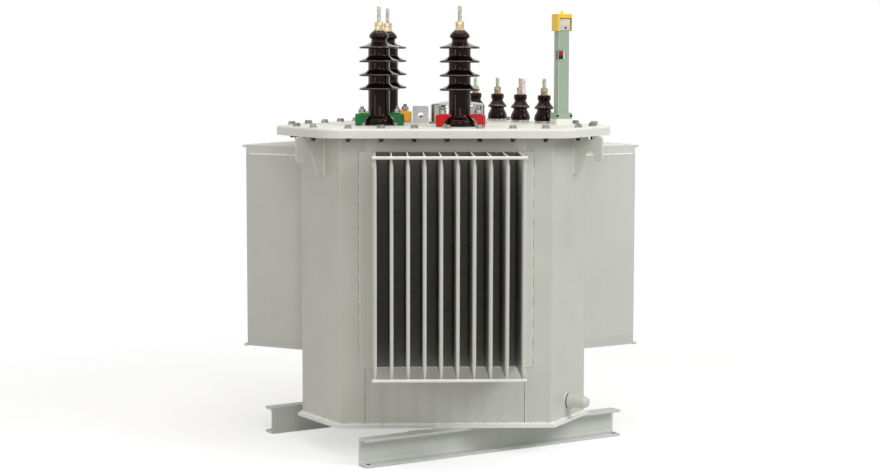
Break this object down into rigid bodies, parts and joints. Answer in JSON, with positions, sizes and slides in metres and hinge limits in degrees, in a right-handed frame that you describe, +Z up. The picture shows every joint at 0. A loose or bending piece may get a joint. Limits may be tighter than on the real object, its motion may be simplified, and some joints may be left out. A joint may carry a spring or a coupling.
{
  "type": "power transformer",
  "caption": "Oil-immersed power transformer: triangular tank with corrugated cooling walls, porcelain bushings, oil gauge and base channels.",
  "frame": {"origin": "centre of the four holding-down holes in the base channels, on the ground", "axes": "+Z up; +X along the base channels towards the low-voltage bushings; +Y across the channels towards the high-voltage bushing at the rear"},
  "size_m": [1.0822, 1.2068, 1.283],
  "materials": {
    "base_paint": "satin",
    "tank_paint": "satin",
    "cover_paint": "satin",
    "valve_paint": "satin",
    "fin_paint": "satin",
    "gauge_paint": "satin",
    "glazed_porcelain": "gloss",
    "clamp_yellow": "gloss",
    "clamp_green": "gloss",
    "clamp_red": "gloss",
    "terminal_metal": "satin",
    "seat_metal": "satin",
    "hood_yellow": "gloss",
    "relief_metal": "satin",
    "tap_steel": "polished"
  },
  "bodies": {
    "root": {"base_plate": "base_paint", "channel_front": "base_paint", "channel_rear": "base_paint", "corner_plate_left": "tank_paint", "corner_plate_rear": "tank_paint", "corner_plate_right": "tank_paint", "cover": "cover_paint", "cover_lug": "cover_paint", "drain_valve": "valve_paint", "fin_rods_front": "fin_paint", "fin_rods_left": "fin_paint", "fin_rods_right": "fin_paint", "fin_wall_front": "fin_paint", "fin_wall_left": "fin_paint", "fin_wall_right": "fin_paint", "gauge_boss": "cover_paint", "gauge_tube": "gauge_paint", "header_sheet_front": "tank_paint", "header_sheet_left": "tank_paint", "header_sheet_right": "tank_paint", "hv_bushing_a": "glazed_porcelain", "hv_bushing_b": "glazed_porcelain", "hv_bushing_c": "glazed_porcelain", "hv_clamps_a": "clamp_yellow", "hv_clamps_b": "clamp_green", "hv_clamps_c": "clamp_red", "hv_terminal_a": "terminal_metal", "hv_terminal_b": "terminal_metal", "hv_terminal_c": "terminal_metal", "lifting_hook_left": "tank_paint", "lifting_hook_rear": "tank_paint", "lifting_hook_right": "tank_paint", "lower_sheet_front": "tank_paint", "lower_sheet_left": "tank_paint", "lower_sheet_right": "tank_paint", "lv_bushing_a": "glazed_porcelain", "lv_bushing_b": "glazed_porcelain", "lv_bushing_c": "glazed_porcelain", "lv_bushing_n": "glazed_porcelain", "lv_seats": "seat_metal", "lv_terminal_a": "terminal_metal", "lv_terminal_b": "terminal_metal", "lv_terminal_c": "terminal_metal", "lv_terminal_n": "terminal_metal", "relief_hood": "hood_yellow", "relief_valve": "relief_metal", "tank_flange": "tank_paint", "tap_switch_cap": "tap_steel"}
  },
  "joints": []
}
